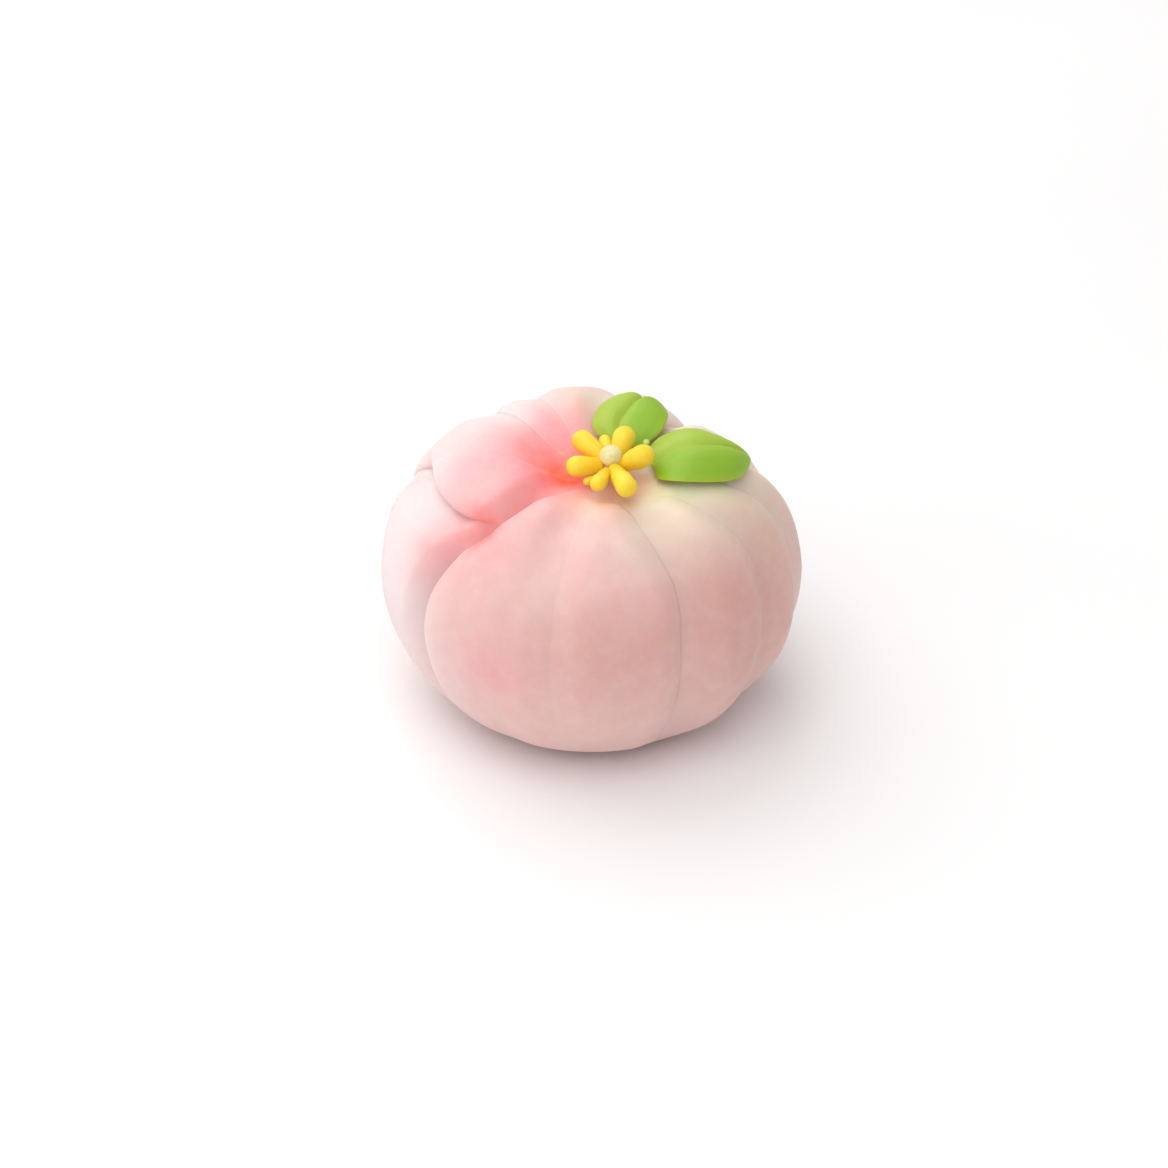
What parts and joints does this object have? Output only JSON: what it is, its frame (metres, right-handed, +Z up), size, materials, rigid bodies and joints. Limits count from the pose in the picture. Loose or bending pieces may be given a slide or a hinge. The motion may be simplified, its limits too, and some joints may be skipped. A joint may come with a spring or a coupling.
{
  "type": "wagashi",
  "caption": "Round fresh sweet of tinted bean dough, pressed into overlapping petals round a dimple, with green leaves and yellow stamens on top; rests on its flat underside.",
  "frame": {"origin": "on the surface the sweet stands on, under the middle of its bounding box", "axes": "+Z up; -Y towards the broad front petal; +X to its right, where the longer leaf lies"},
  "size_m": [0.046, 0.0448, 0.0337],
  "materials": {
    "petal_dough": "moist satin bean dough, coral at the dimple fading to cream",
    "leaf_dough": "satin green bean dough",
    "stamen_dough": "satin yellow bean dough",
    "cream_dough": "satin cream bean dough"
  },
  "bodies": {
    "root": {"dough_body": "petal_dough", "leaf_back": "leaf_dough", "leaf_right": "leaf_dough", "stamen_1": "stamen_dough", "stamen_2": "stamen_dough", "stamen_3": "stamen_dough", "stamen_4": "stamen_dough", "stamen_5": "stamen_dough", "stamen_6": "stamen_dough", "stamen_7": "stamen_dough", "stamen_8": "stamen_dough", "centre_ball": "cream_dough", "green_nub": "leaf_dough"}
  },
  "joints": []
}
